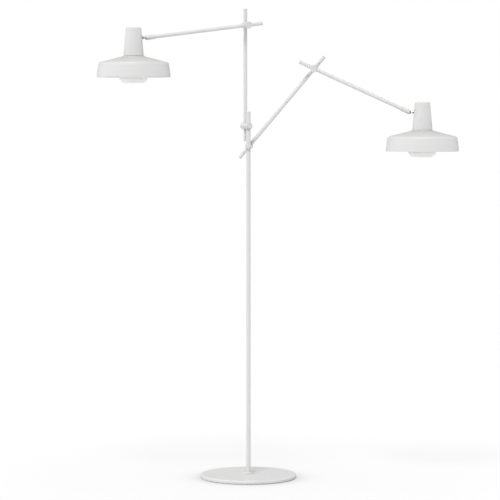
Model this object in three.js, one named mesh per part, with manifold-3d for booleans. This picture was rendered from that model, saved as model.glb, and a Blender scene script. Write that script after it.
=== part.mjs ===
// Adjustable floor lamp with two arms. Millimetres, +Z up.
// The origin is the centre of the base's underside, on the floor. Seen from the front, +X is to the
// right and +Y is away. Each branch is a rod clamped to the post, an arm clamped to the rod, and a
// lamp head on a ball joint at the arm's end. A group stands for each thing that moves.
import * as THREE from 'three';
import { mergeVertices } from 'three/addons/utils/BufferGeometryUtils.js';
import Module from 'manifold-3d';

const wasm = await Module();
wasm.setup();

// ---------------------------------------------------------------- driving dimensions
const gap = 0.3; // what touching pieces keep between them

const base = { radius: 152.5, top: 12, padTop: 1.7, edgeRound: 3.5, sides: 48 };
const foot = { boltRadius: 3, holeRadius: 3.5, headRadius: 5, headBottom: 2.4, headTop: 6.7, boltTop: 27 };
const post = { radius: 7, bore: 5.5, top: 1166, threadedLength: 25, sides: 20 };
const collar = { radius: 15, height: 6.2 };
const tube = { radius: 6, bore: 4.8, sides: 16 };
const plug = { flange: 1, spigotRadius: 4.5, spigotLength: 10 };

const rodLength = 418; // plug face to plug face
const rodBelowClamp = 48; // from the lower clamp's axis to the rod's bottom face
const armLength = 380.5; // inner end to the mouth of the ball socket

const clamp = {
  spacing: 25, // from the carrying tube's axis to the carried tube's axis
  barrelRadius: 10.3,
  carrierBore: 8.5,
  cradleBore: 7.9,
  carrierEnd: -10.4, // the carrier barrel's capped end, along the clamp's axis
  interface: 12.5, // where the two barrels meet
  cradleEnd: 35,
  spigotRadius: 7.7,
  plungerRadius: 4.9,
  capRadius: 7.5,
  bushHalfLength: 9.9,
  sides: 16,
};
const knob = { radius: 11, faceX: 43.5, backX: 35.3, studRadius: 4, sides: 20 };

const socket = { radius: 7.5, length: 28, tubeDepth: 14, ballInset: 1, mouthRadius: 6.3 };
const ball = { radius: 6, neckRadius: 3, collarRadius: 4.6, collarStart: 9.2, collarEnd: 14.4, end: 19.5 };

const head = { studToAxis: 41.5, studHeight: 123, sides: 28 }; // heights count from the shade's rim
const shade = { radius: 115.3, wall: 1.4, neckRadius: 21.5, neckTop: 67 };
const stem = { bottomRadius: 31.8, bottom: 67, topRadius: 24.1, top: 155, wall: 1.4, edgeRound: 4 };
const holder = { radius: 20.5, flangeRadius: 25, bottom: 50, top: 104, bore: 13.8, boreTop: 86 };
const diffuser = { radius: 45, wall: 2.4, neckRadius: 21.8, lipTop: 64.9, lipBottom: 62.5 };
const bulb = { globeRadius: 22.5, globeHeight: 15.5, capRadius: 13.1, top: 84 };

// How each branch is set: turns in degrees, places along a tube in mm from the clamp below it
const branches = [
  { side: 'left', postHeight: 1120, pan: 113, rodTilt: 0, upperAt: 317.5, upperTurn: -186.5, armTilt: 97.25,
    armIn: 48.5, headNod: -7.25, headTurn: 0 },
  { side: 'right', postHeight: 1055.5, pan: 85, rodTilt: 40.1, upperAt: 321, upperTurn: 180, armTilt: -74.4,
    armIn: 49, headNod: 24.5, headTurn: 180 },
];

// ---------------------------------------------------------------- finishes
const finishes = {
  paint: { color: 0xececea, roughness: 0.5, metalness: 0 },
  plastic: { color: 0xdcdcda, roughness: 0.6, metalness: 0 },
  nickel: { color: 0xa9a9a8, roughness: 0.35, metalness: 1 },
  steel: { color: 0x8f9193, roughness: 0.4, metalness: 1 },
  felt: { color: 0x3b3b3c, roughness: 0.95, metalness: 0 },
  opal: { color: 0xf6f5f0, roughness: 0.3, metalness: 0 },
  bulbGlass: { color: 0xf3efe4, roughness: 0.25, metalness: 0 },
  ceramic: { color: 0xe8e6e0, roughness: 0.45, metalness: 0 },
};

// ---------------------------------------------------------------- shape helpers
const degrees = THREE.MathUtils.degToRad;

// A turned solid about Z. The outline is [radius, height] points, counter-clockwise in the
// half-plane right of the axis; it starts and ends on the axis, or it is closed for a ring.
function turned(outline, sides) {
  const points = outline.map(([r, z]) => new THREE.Vector2(r, z));
  return new THREE.LatheGeometry(points, sides).rotateX(Math.PI / 2);
}

// The same solid turned about X.
function turnedAlongX(outline, sides) {
  return turned(outline, sides).rotateY(Math.PI / 2);
}

function ring(inner, outer, bottom, top, sides) {
  return turned([[inner, bottom], [outer, bottom], [outer, top], [inner, top], [inner, bottom]], sides);
}

function cylinder(radius, bottom, top, sides) {
  return turned([[0, bottom], [radius, bottom], [radius, top], [0, top]], sides);
}

// Points along an arc about [centreR, centreZ], from one angle to another in degrees.
function arc(centreR, centreZ, radius, from, to, steps) {
  return Array.from({ length: steps + 1 }, (_, i) => {
    const angle = degrees(from + ((to - from) * i) / steps);
    return [centreR + radius * Math.cos(angle), centreZ + radius * Math.sin(angle)];
  });
}

function toManifold(geometry) {
  const bare = geometry.clone();
  bare.deleteAttribute('normal');
  bare.deleteAttribute('uv');
  const merged = mergeVertices(bare, 1e-4);
  const corners = merged.index.array;
  const triVerts = [];
  for (let i = 0; i < corners.length; i += 3) {
    const [a, b, c] = [corners[i], corners[i + 1], corners[i + 2]];
    if (a !== b && b !== c && c !== a) triVerts.push(a, b, c);
  }
  return new wasm.Manifold(new wasm.Mesh({
    numProp: 3,
    vertProperties: new Float32Array(merged.attributes.position.array),
    triVerts: new Uint32Array(triVerts),
  }));
}

function cut(geometry, ...tools) {
  const solid = tools.reduce((left, tool) => left.subtract(toManifold(tool)), toManifold(geometry));
  const mesh = solid.getMesh();
  const result = new THREE.BufferGeometry();
  result.setAttribute('position', new THREE.BufferAttribute(mesh.vertProperties, 3));
  result.setIndex(new THREE.BufferAttribute(mesh.triVerts, 1));
  return result;
}

function piece(name, geometry, finish) {
  const mesh = new THREE.Mesh(geometry, new THREE.MeshStandardMaterial(finishes[finish]));
  mesh.name = name;
  return mesh;
}

function placed(x, y, z, turns = {}) {
  const group = new THREE.Group();
  group.position.set(x, y, z);
  group.rotation.set(degrees(turns.x ?? 0), degrees(turns.y ?? 0), degrees(turns.z ?? 0));
  return group;
}

// ---------------------------------------------------------------- stand
function basePlate() {
  const bottom = base.padTop + gap;
  const recess = foot.headTop + gap;
  const rounded = arc(base.radius - base.edgeRound, base.top - base.edgeRound, base.edgeRound, 0, 90, 3);
  const outline = [
    [foot.headRadius + 3.5, bottom],
    [base.radius, bottom],
    ...rounded,
    [foot.holeRadius, base.top],
    [foot.holeRadius, recess],
    [foot.headRadius + 3.5, recess],
    [foot.headRadius + 3.5, bottom],
  ];
  return piece('base_plate', turned(outline, base.sides), 'paint');
}

function basePad() {
  return piece('base_pad', cylinder(base.radius - 2, 0, base.padTop, base.sides), 'felt');
}

function postBolt() {
  const outline = [
    [0, foot.headBottom],
    [foot.headRadius, foot.headBottom],
    [foot.headRadius, foot.headTop],
    [foot.boltRadius, foot.headTop],
    [foot.boltRadius, foot.boltTop],
    [0, foot.boltTop],
  ];
  const keyHole = new THREE.CylinderGeometry(2.9, 2.9, 5, 6).rotateX(Math.PI / 2);
  keyHole.translate(0, 0, foot.headBottom);
  return piece('post_bolt', cut(turned(outline, 16), keyHole), 'steel');
}

function postTube() {
  const bottom = base.top + gap;
  const threadTop = bottom + post.threadedLength;
  const top = post.top - 3 - gap;
  const threadRadius = foot.boltRadius + gap;
  const outline = [
    [threadRadius, bottom],
    [post.radius, bottom],
    [post.radius, top],
    [post.bore, top],
    [post.bore, threadTop],
    [threadRadius, threadTop],
    [threadRadius, bottom],
  ];
  return piece('post_tube', turned(outline, post.sides), 'paint');
}

function postCollar() {
  const bottom = base.top + gap;
  const top = bottom + collar.height;
  const outline = [
    [post.radius + gap, bottom],
    [collar.radius, bottom],
    [collar.radius, top - 1.6],
    [collar.radius - 1.6, top],
    [post.radius + gap, top],
    [post.radius + gap, bottom],
  ];
  return piece('post_collar', turned(outline, post.sides), 'paint');
}

function postCap() {
  const shoulder = post.top - 3;
  const outline = [
    [0, shoulder - 12],
    [post.bore - gap, shoulder - 12],
    [post.bore - gap, shoulder],
    [post.radius, shoulder],
    ...arc(post.radius - 1.6, post.top - 1.6, 1.6, 0, 90, 2),
    [0, post.top],
  ];
  return piece('post_cap', turned(outline, post.sides), 'plastic');
}

// ---------------------------------------------------------------- clamp
// Local X is the clamp's axis, from the carrying tube at 0 to the carried tube at clamp.spacing.
// Local Z is the carrying tube's axis.
const crossBore = (radius, x) => cylinder(radius, -20, 20, clamp.sides).translate(x, 0, 0);

function carrierBarrel(name) {
  const recess = clamp.carrierEnd + 1;
  const meeting = clamp.interface - gap / 2;
  const socketFloor = clamp.carrierBore + 1;
  const outline = [
    [0, recess],
    [clamp.capRadius + gap, recess],
    [clamp.capRadius + gap, clamp.carrierEnd],
    [clamp.barrelRadius, clamp.carrierEnd],
    [clamp.barrelRadius, meeting],
    [clamp.spigotRadius + gap, meeting],
    [clamp.spigotRadius + gap, socketFloor],
    [clamp.plungerRadius + gap, socketFloor],
    [clamp.plungerRadius + gap, 0],
    [0, 0],
  ];
  const barrel = cut(turnedAlongX(outline, clamp.sides), crossBore(clamp.carrierBore, 0));
  return piece(`${name}_carrier_barrel`, barrel, 'paint');
}

function cradleBarrel(name) {
  const meeting = clamp.interface + gap / 2;
  const spigotTip = clamp.carrierBore + 1 + gap;
  const farWall = clamp.spacing + 3;
  const outline = [
    [0, clamp.spacing - 3],
    [clamp.plungerRadius + gap, clamp.spacing - 3],
    [clamp.plungerRadius + gap, spigotTip],
    [clamp.spigotRadius, spigotTip],
    [clamp.spigotRadius, meeting],
    [clamp.barrelRadius, meeting],
    [clamp.barrelRadius, clamp.cradleEnd],
    [knob.studRadius + gap, clamp.cradleEnd],
    [knob.studRadius + gap, farWall],
    [0, farWall],
  ];
  const barrel = cut(turnedAlongX(outline, clamp.sides), crossBore(clamp.cradleBore, clamp.spacing));
  return piece(`${name}_cradle_barrel`, barrel.translate(-clamp.spacing, 0, 0), 'paint');
}

function clampCap(name) {
  const seat = clamp.carrierEnd + 1 - gap;
  const face = clamp.carrierEnd - 1.5;
  const outline = [
    [0, face + 0.9],
    [1.4, face + 0.9],
    [2.3, face],
    [clamp.capRadius - 1, face],
    [clamp.capRadius, face + 1],
    [clamp.capRadius, seat],
    [0, seat],
  ];
  return piece(`${name}_cap`, turnedAlongX(outline, 16), 'paint');
}

function clampPlunger(name, carrierBush, cradleBush) {
  const start = carrierBush + gap;
  const end = clamp.spacing - cradleBush - gap;
  const outline = [[0, start], [clamp.plungerRadius, start], [clamp.plungerRadius, end], [0, end]];
  return piece(`${name}_plunger`, turnedAlongX(outline, 12), 'steel');
}

function clampKnob(name) {
  const tip = clamp.spacing + clamp.cradleBore;
  const outline = [
    [0, tip],
    [knob.studRadius, tip],
    [knob.studRadius, knob.backX],
    [knob.radius - 1.2, knob.backX],
    [knob.radius, knob.backX + 1.2],
    [knob.radius, knob.faceX - 1.2],
    [knob.radius - 1.2, knob.faceX],
    [0, knob.faceX],
  ];
  const solid = turnedAlongX(outline, knob.sides).translate(-clamp.spacing, 0, 0);
  return piece(`${name}_knob`, solid, 'paint');
}

const bush = (name, inner, outer) =>
  piece(name, ring(inner, outer, -clamp.bushHalfLength, clamp.bushHalfLength, 16), 'plastic');

// Fills the clamp's group and gives back the group that the carried tube lies in, along its Z.
function buildClamp(group, name, carriedRadius, tilt) {
  const carrierBush = clamp.carrierBore - gap;
  const cradleBush = clamp.cradleBore - gap;
  group.add(bush(`${name}_carrier_bush`, carriedRadius + gap, carrierBush));
  group.add(carrierBarrel(name), clampCap(name), clampPlunger(name, carrierBush, cradleBush));
  const cradle = placed(clamp.spacing, 0, 0, { x: tilt });
  cradle.add(bush(`${name}_cradle_bush`, tube.radius + gap, cradleBush), cradleBarrel(name), clampKnob(name));
  group.add(cradle);
  return cradle;
}

// ---------------------------------------------------------------- rods and arms
function endPlug(name, faceZ, inward) {
  const flat = faceZ + inward * plug.flange;
  const tip = flat + inward * plug.spigotLength;
  const outline = [[0, faceZ], [tube.radius, faceZ], [tube.radius, flat], [plug.spigotRadius, flat],
    [plug.spigotRadius, tip], [0, tip]];
  return piece(name, turned(inward > 0 ? outline : outline.reverse(), tube.sides), 'plastic');
}

function buildRod(group, side) {
  const bottom = -rodBelowClamp;
  const top = bottom + rodLength;
  const inset = plug.flange + gap;
  const body = ring(tube.bore, tube.radius, bottom + inset, top - inset, tube.sides);
  group.add(piece(`${side}_rod_tube`, body, 'paint'));
  group.add(endPlug(`${side}_rod_bottom_plug`, bottom, 1), endPlug(`${side}_rod_top_plug`, top, -1));
}

function leadBush(name, faceZ) {
  const flat = faceZ + plug.flange;
  const tip = flat + plug.spigotLength;
  const hole = 2.2;
  const outline = [[hole, faceZ], [tube.radius, faceZ], [tube.radius, flat], [plug.spigotRadius, flat],
    [plug.spigotRadius, tip], [hole, tip], [hole, faceZ]];
  return piece(name, turned(outline, tube.sides), 'plastic');
}

function ballSocket(name, mouthZ) {
  const start = mouthZ - socket.length;
  const shoulder = start + socket.tubeDepth;
  const centre = mouthZ - socket.ballInset;
  const lead = 4.3;
  const inner = socket.mouthRadius;
  const mouthAngle = THREE.MathUtils.radToDeg(Math.asin(socket.ballInset / inner));
  const throatAngle = -THREE.MathUtils.radToDeg(Math.acos(lead / inner));
  const outline = [
    [tube.radius + gap, start],
    [socket.radius - 0.7, start],
    [socket.radius, start + 0.7],
    [socket.radius, mouthZ - 0.5],
    [socket.radius - 0.5, mouthZ],
    ...arc(0, centre, inner, mouthAngle, throatAngle, 3),
    [lead, shoulder],
    [tube.radius + gap, shoulder],
    [tube.radius + gap, start],
  ];
  return piece(name, turned(outline, tube.sides), 'paint');
}

function buildArm(group, side, inner) {
  const mouth = armLength - inner;
  const tubeEnd = mouth - socket.length + socket.tubeDepth - gap;
  const body = ring(tube.bore, tube.radius, -inner + plug.flange + gap, tubeEnd, tube.sides);
  group.add(piece(`${side}_arm_tube`, body, 'paint'));
  group.add(leadBush(`${side}_arm_lead_bush`, -inner), ballSocket(`${side}_arm_socket`, mouth));
  return mouth - socket.ballInset;
}

// ---------------------------------------------------------------- lamp head
// The ball is at the origin of its group and the stud runs along Z.
function ballStud(name) {
  const neckAngle = THREE.MathUtils.radToDeg(Math.acos(ball.neckRadius / ball.radius));
  const shankRadius = ball.neckRadius - 0.2;
  const outline = [
    ...arc(0, 0, ball.radius, -90, neckAngle, 6),
    [ball.neckRadius, ball.collarStart],
    [ball.collarRadius, ball.collarStart],
    [ball.collarRadius, ball.collarEnd],
    [shankRadius, ball.collarEnd],
    [shankRadius, ball.end],
    [0, ball.end],
  ];
  return piece(name, turned(outline, tube.sides), 'nickel');
}

function headShade(name) {
  const w = shade.wall;
  const outer = [
    [shade.radius, 0],
    [113, 22],
    [110.7, 36],
    ...arc(101.6, 38.6, 9, 12, 70, 3),
    [37, 64.3],
    [33, 66.6],
    [shade.neckRadius, shade.neckTop],
  ];
  const inner = [
    [shade.neckRadius, shade.neckTop - w],
    [33.5, 66.6 - w],
    [36.6, 64.3 - w],
    ...arc(101.6, 38.6, 9 - w, 70, 12, 2),
    [110.7 - w, 36],
    [shade.radius - w, 0],
  ];
  return piece(name, turned([...outer, ...inner, outer[0]], head.sides), 'paint');
}

function headStem(name) {
  const w = stem.wall;
  const shoulderZ = stem.top - stem.edgeRound;
  const shoulderR = stem.topRadius - stem.edgeRound;
  const outline = [
    [0, stem.top - w],
    [shoulderR, stem.top - w],
    [stem.topRadius - w, shoulderZ],
    [stem.bottomRadius - w, stem.bottom],
    [stem.bottomRadius, stem.bottom],
    ...arc(shoulderR, shoulderZ, stem.edgeRound, 5, 90, 3),
    [0, stem.top],
  ];
  const studHole = cylinder(ball.neckRadius + 0.2, 0, stem.bottomRadius + 5, 12)
    .rotateX(-Math.PI / 2)
    .translate(0, 0, head.studHeight);
  return piece(name, cut(turned(outline, 28), studHole), 'paint');
}

function lampHolder(name) {
  const flangeBottom = shade.neckTop + gap;
  const outline = [
    [0, holder.boreTop],
    [holder.bore, holder.boreTop],
    [holder.bore, holder.bottom],
    [holder.radius, holder.bottom],
    [holder.radius, flangeBottom],
    [holder.flangeRadius, flangeBottom],
    [holder.flangeRadius, flangeBottom + 2.7],
    [holder.radius, flangeBottom + 2.7],
    [holder.radius, holder.top - 8],
    [holder.radius - 5.5, holder.top],
    [0, holder.top],
  ];
  return piece(name, turned(outline, 20), 'ceramic');
}

function shadeRing(name) {
  return piece(name, ring(holder.radius + gap, 26.5, diffuser.lipBottom - gap - 5, diffuser.lipBottom - gap, 20),
    'plastic');
}

function headDiffuser(name) {
  const outline = [
    [0, -18.5],
    [30, -18.5],
    [38, -14.2],
    [43, -7.8],
    [44.7, 0],
    [diffuser.radius, 52],
    [41, 58.2],
    [31, diffuser.lipTop],
    [diffuser.neckRadius, diffuser.lipTop],
    [diffuser.neckRadius, diffuser.lipBottom],
    [30, diffuser.lipBottom],
    [39.4, 56.4],
    [diffuser.radius - diffuser.wall, 51],
    [42.2, 0],
    [40.6, -6.6],
    [36.6, -12.2],
    [29.4, -16.1],
    [0, -16.1],
  ];
  return piece(name, turned(outline, 24), 'opal');
}

function headBulb(name) {
  const outline = [
    ...arc(0, bulb.globeHeight, bulb.globeRadius, -90, 48, 6),
    [bulb.capRadius + 0.3, 45],
    [bulb.capRadius, 56],
    [bulb.capRadius, bulb.top - 2],
    [9, bulb.top],
    [0, bulb.top],
  ];
  return piece(name, turned(outline, 16), 'bulbGlass');
}

function buildHead(group, side) {
  group.add(
    headStem(`${side}_head_stem`),
    headShade(`${side}_head_shade`),
    lampHolder(`${side}_head_lamp_holder`),
    shadeRing(`${side}_head_shade_ring`),
    headDiffuser(`${side}_head_diffuser`),
    headBulb(`${side}_head_bulb`),
  );
}

// ---------------------------------------------------------------- the lamp
// One branch, clamp by clamp from the post outwards. Each placed group is a thing that moves.
function buildBranch(lamp, set) {
  const lowerClamp = placed(0, 0, set.postHeight, { z: set.pan });
  const rod = buildClamp(lowerClamp, `${set.side}_lower`, post.radius, set.rodTilt);
  buildRod(rod, set.side);

  const upperClamp = placed(0, 0, set.upperAt, { z: set.upperTurn });
  const arm = buildClamp(upperClamp, `${set.side}_upper`, tube.radius, set.armTilt);
  const ballAt = buildArm(arm, set.side, set.armIn);

  const stud = placed(0, 0, ballAt, { x: set.headNod });
  stud.add(ballStud(`${set.side}_head_ball_stud`));
  const swivel = placed(0, 0, head.studToAxis, { z: set.headTurn });
  const upright = placed(0, 0, 0, { x: -90 });
  const lampHead = placed(0, 0, -head.studHeight);
  buildHead(lampHead, set.side);

  lamp.add(lowerClamp);
  rod.add(upperClamp);
  arm.add(stud);
  stud.add(swivel);
  swivel.add(upright);
  upright.add(lampHead);
}

const lamp = new THREE.Group();
lamp.add(basePlate(), basePad(), postBolt(), postCollar(), postTube(), postCap());
branches.forEach((set) => buildBranch(lamp, set));

export default lamp;
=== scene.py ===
import math

import bpy
import numpy as np
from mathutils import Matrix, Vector


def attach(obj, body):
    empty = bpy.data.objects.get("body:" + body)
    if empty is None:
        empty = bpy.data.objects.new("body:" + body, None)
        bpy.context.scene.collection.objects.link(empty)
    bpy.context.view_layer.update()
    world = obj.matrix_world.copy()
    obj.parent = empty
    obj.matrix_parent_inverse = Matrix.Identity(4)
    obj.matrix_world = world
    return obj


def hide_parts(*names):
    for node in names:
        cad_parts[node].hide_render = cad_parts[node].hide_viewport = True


# A white floor lamp with two jointed arms. Outlines are in millimetres and turned about their own
# axis; each is then carried to its place on the lamp, and the finished mesh is in metres.
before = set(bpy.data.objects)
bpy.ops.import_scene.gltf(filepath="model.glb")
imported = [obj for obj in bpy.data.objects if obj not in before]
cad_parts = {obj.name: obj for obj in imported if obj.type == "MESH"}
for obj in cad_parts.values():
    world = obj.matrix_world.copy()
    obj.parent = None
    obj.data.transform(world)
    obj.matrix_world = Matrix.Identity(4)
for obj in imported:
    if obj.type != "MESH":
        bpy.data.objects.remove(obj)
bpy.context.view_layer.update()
metre = 0.001  # metres in a millimetre
print("frame loaded:", len(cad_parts), "nodes")


# places: every part hangs on the one before it, from the post to the lamp head
def turnAbout(axis, angle):
    # rotation matrix about X, Y or Z: the two other axes turn by cos and sin of the angle
    place, c, s = np.eye(4), math.cos(math.radians(angle)), math.sin(math.radians(angle))
    a, b = {"x": (1, 2), "y": (2, 0), "z": (0, 1)}[axis]
    place[a, a], place[a, b], place[b, a], place[b, b] = c, -s, s, c
    return place


def shiftBy(x, y, z):
    place = np.eye(4)
    place[:3, 3] = x, y, z
    return place


lampSetting = {
    "spacing": 25, "armLength": 380.5, "ballInset": 1, "studToAxis": 41.5, "studHeight": 123,
    "left": {"postHeight": 1120, "pan": 113, "rodTilt": 0, "upperAt": 317.5, "upperTurn": -186.5,
             "armTilt": 97.25, "armIn": 48.5, "headNod": -7.25, "headTurn": 0},
    "right": {"postHeight": 1055.5, "pan": 85, "rodTilt": 40.1, "upperAt": 321, "upperTurn": 180,
              "armTilt": -74.4, "armIn": 49, "headNod": 24.5, "headTurn": 180},
}


def branchPlaces(side):
    b, across = lampSetting[side], shiftBy(lampSetting["spacing"], 0, 0)
    ballAt = lampSetting["armLength"] - b["armIn"] - lampSetting["ballInset"]
    lower = shiftBy(0, 0, b["postHeight"]) @ turnAbout("z", b["pan"])
    rod = lower @ across @ turnAbout("x", b["rodTilt"])
    upper = rod @ shiftBy(0, 0, b["upperAt"]) @ turnAbout("z", b["upperTurn"])
    arm = upper @ across @ turnAbout("x", b["armTilt"])
    stud = arm @ shiftBy(0, 0, ballAt) @ turnAbout("x", b["headNod"])
    head = (stud @ turnAbout("z", b["headTurn"]) @ shiftBy(0, 0, lampSetting["studToAxis"])
            @ turnAbout("x", -90) @ shiftBy(0, 0, -lampSetting["studHeight"]))
    return {"lower": lower, "rod": rod, "upper": upper, "arm": arm, "stud": stud, "head": head}


# outlines
def arcCorners(centre, radius, start, end, steps):
    # points on a circle, from one angle to another, as sharp corners of an outline
    a = np.radians(np.linspace(start, end, steps + 1))
    return [(centre[0] + radius * c, centre[1] + radius * s, 0) for c, s in zip(np.cos(a), np.sin(a))]


outlineMaking = {
    "stepDegrees": 11,  # turn from one point of a fillet to the next
    "largestShare": 0.46,  # how much of the shorter side a fillet may take
    "support": 1.4,  # millimetres from a fillet to the point that keeps the side beyond it flat
    "supportShare": 0.45,  # and at most this much of what the fillet leaves
    "sharpRim": 1.5,  # a fillet below this many millimetres is a full edge
    "straight": 0.02, "crease": 0.3,  # radians: no corner below the first, an edge above the second
    "swell": (0.15, 0.7),  # where along half a sine wave a fillet's edge value starts, and how far it goes
    "onAxis": 1e-6, "sharpDegrees": 32,
}


def roundedOutline(corners, closed):
    # a corner is radius, height and, where wanted, fillet and edge value; a fillet of radius f starts
    # f / tan(half the angle between the sides) from its corner; each row that comes back is radius,
    # height and how outward (+) or inward (-) the outline turns there; the finishes wear the outward
    # values and paint shade into the inward ones
    m = outlineMaking
    pts = np.array([c[:2] for c in corners], float)
    rows, count = [], len(pts)
    for i, (here, fillet) in enumerate(zip(pts, (c[2] if len(c) > 2 else 0 for c in corners))):
        if not closed and i in (0, count - 1):
            rows.append((*here, 0))
            continue
        before, after = pts[i - 1] - here, pts[(i + 1) % count] - here
        lengths = np.array([np.linalg.norm(before), np.linalg.norm(after)])
        before, after = before / lengths[0], after / lengths[1]
        opening = math.acos(np.clip(before @ after, -1, 1))
        turning = math.copysign(math.pi - opening, before[1] * after[0] - before[0] * after[1])
        if fillet == 0 or abs(turning) < m["straight"]:
            weight = 0 if abs(turning) < m["crease"] else math.copysign(1, turning)
            rows.append((*here, corners[i][3] if len(corners[i]) > 3 else weight))
            continue
        reach = min(fillet / math.tan(opening / 2), m["largestShare"] * lengths.min())
        fillet = reach * math.tan(opening / 2)
        middle = before + after
        centre = here + middle / np.linalg.norm(middle) * fillet / math.sin(opening / 2)
        steps = max(3, math.ceil(math.degrees(abs(turning)) / m["stepDegrees"]))
        weight = math.copysign(min(1, m["sharpRim"] / fillet), turning)
        spread = min(m["support"], m["supportShare"] * (lengths.min() - reach))
        first = here + before * reach - centre
        rows.append((*(here + before * (reach + spread)), 0))
        for a in np.linspace(0, turning, steps + 1):
            c, s = math.cos(a), math.sin(a)
            x, y = c * first[0] - s * first[1], s * first[0] + c * first[1]
            swell = math.sin(math.pi * (m["swell"][0] + m["swell"][1] * abs(a / turning)))
            rows.append((centre[0] + x, centre[1] + y, weight * swell))
        rows.append((*(here + after * (reach + spread)), 0))
    return np.array(rows)


def turnedShell(corners, sides, closed):
    # a turned surface: x = r cos a, y = r sin a, z = h for each row (r, h) of the outline and each of
    # the angles a; a row on the axis becomes one point with a fan round it; the piece's own map holds
    # the share of a turn and the millimetres along the outline
    rows = roundedOutline(corners, closed)
    r, h, edge = rows.T
    count = len(rows)
    a = np.linspace(0, 2 * math.pi, sides, endpoint=False)
    grid = np.stack([np.outer(np.cos(a), r), np.outer(np.sin(a), r), np.tile(h, (sides, 1))], -1)
    steps = np.linalg.norm(np.diff(rows[:, :2], axis=0), axis=1)
    along = np.concatenate([[0], np.cumsum(steps)])
    number = np.arange(sides)[:, None] * count + np.arange(count)
    number = np.where(r < outlineMaking["onAxis"], np.arange(count), number)
    number = np.vstack([number, number[:1]])
    here = np.arange(count if closed else count - 1)
    there = (here + 1) % count
    turnShare = np.linspace(0, 1, sides + 1)
    end = np.append(along, along[-1] + np.linalg.norm(rows[-1, :2] - rows[0, :2]))
    first, second = number[:-1], number[1:]
    quads = np.stack([first[:, here], second[:, here], second[:, there], first[:, there]], -1)
    u0, u1 = (np.repeat(t[:, None], len(here), 1) for t in (turnShare[:-1], turnShare[1:]))
    v0, v1 = (np.repeat(t[None], sides, 0) for t in (end[here], end[here + 1]))
    uv = np.stack([np.stack(pair, -1) for pair in ((u0, v0), (u1, v0), (u1, v1), (u0, v1))], 2)
    quads, uv = quads.reshape(-1, 4), uv.reshape(-1, 4, 2)
    startFan, endFan = quads[:, 0] == quads[:, 1], quads[:, 2] == quads[:, 3]
    plain = ~(startFan | endFan)
    groups = ((plain, [0, 1, 2, 3]), (startFan, [0, 2, 3]), (endFan, [0, 1, 2]))
    faces = [face for which, kept in groups for face in quads[which][:, kept].tolist()]
    uvs = np.concatenate([uv[which][:, kept].reshape(-1, 2) for which, kept in groups])
    used, faces = usedOnly(faces)
    return grid.reshape(-1, 3)[used], faces, uvs, np.tile(edge, sides)[used]


def usedOnly(faces):
    # the points that the faces use, and the faces renumbered to them
    flat = np.concatenate([np.asarray(f) for f in faces])
    used, renumbered = np.unique(flat, return_inverse=True)
    ends = np.cumsum([len(f) for f in faces])
    return used, [part.tolist() for part in np.split(renumbered, ends[:-1])]


def meshPiece(name, shell, place):
    # every point p goes to place * p, and the mesh is smooth but for its sharp corners
    points, faces, uvs, edge = shell
    points = (points @ place[:3, :3].T + place[:3, 3]) * metre
    mesh = bpy.data.meshes.new(name)
    mesh.from_pydata(points.tolist(), [], faces)
    mesh.uv_layers.new(name="turning").data.foreach_set("uv", uvs.astype(np.float32).ravel())
    mesh.attributes.new("edge", "FLOAT", "POINT").data.foreach_set("value", edge.astype(np.float32))
    finishMesh(mesh)
    piece = bpy.data.objects.new(name, mesh)
    bpy.context.scene.collection.objects.link(piece)
    return piece


def finishMesh(mesh):
    mesh.polygons.foreach_set("use_smooth", np.ones(len(mesh.polygons), bool))
    mesh.set_sharp_from_angle(angle=math.radians(outlineMaking["sharpDegrees"]))
    mesh.update()


def drilled(piece, radius, place, start, end, sides=64):
    # a round hole along Z of its place, cut through the piece
    shell = turnedShell([(0, start), (radius, start), (radius, end), (0, end)], sides, False)
    tool = meshPiece("drill", shell, place)
    cut = piece.modifiers.new("hole", "BOOLEAN")
    cut.operation, cut.solver, cut.object = "DIFFERENCE", "EXACT", tool
    depsgraph = bpy.context.evaluated_depsgraph_get()
    result = bpy.data.meshes.new_from_object(piece.evaluated_get(depsgraph))
    piece.modifiers.clear()
    old, piece.data = piece.data, result
    bpy.data.meshes.remove(old)
    bpy.data.objects.remove(tool)
    finishMesh(result)
    return piece


# shader groups, each built once
def newGroup(name, inputs, outputs):
    group = bpy.data.node_groups.new(name, "ShaderNodeTree")
    for label, kind, value in inputs:
        socket = group.interface.new_socket(label, in_out="INPUT", socket_type="NodeSocket" + kind)
        socket.default_value = value
    for label, kind in outputs:
        group.interface.new_socket(label, in_out="OUTPUT", socket_type="NodeSocket" + kind)
    return group, Wiring(group)


class Wiring:
    # short ways to add and join nodes in one tree
    def __init__(self, tree):
        self.tree = tree

    def node(self, kind, **settings):
        made = self.tree.nodes.new(kind if kind.startswith("NodeGroup") else "ShaderNode" + kind)
        for key, value in settings.items():
            setattr(made, key, value)
        return made

    def join(self, source, target):
        if isinstance(source, (int, float, tuple)):
            target.default_value = source
        else:
            self.tree.links.new(source, target)

    def maths(self, operation, *values):
        made = self.node("Math", operation=operation)
        for value, socket in zip(values, made.inputs):
            self.join(value, socket)
        return made.outputs[0]

    def ranged(self, value, low, high, toLow, toHigh):
        made = self.node("MapRange")
        for source, socket in zip((value, low, high, toLow, toHigh), made.inputs):
            self.join(source, socket)
        return made.outputs[0]

    def noise(self, scale, detail=2.0, rough=0.5, vector=None):
        made = self.node("TexNoise")
        self.join(vector or self.place(), made.inputs["Vector"])
        self.join(scale, made.inputs["Scale"])
        made.inputs["Detail"].default_value, made.inputs["Roughness"].default_value = detail, rough
        return made.outputs["Fac"]

    def place(self):
        return self.node("TexCoord").outputs["Object"]

    def attribute(self, name):
        return self.node("Attribute", attribute_name=name).outputs["Fac"]

    def mixed(self, share, first, second):
        made = self.node("Mix", data_type="RGBA")
        for source, at in ((share, 0), (first, 6), (second, 7)):  # the colour sockets of a Mix node
            self.join(source, made.inputs[at])
        return made.outputs[2]


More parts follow.
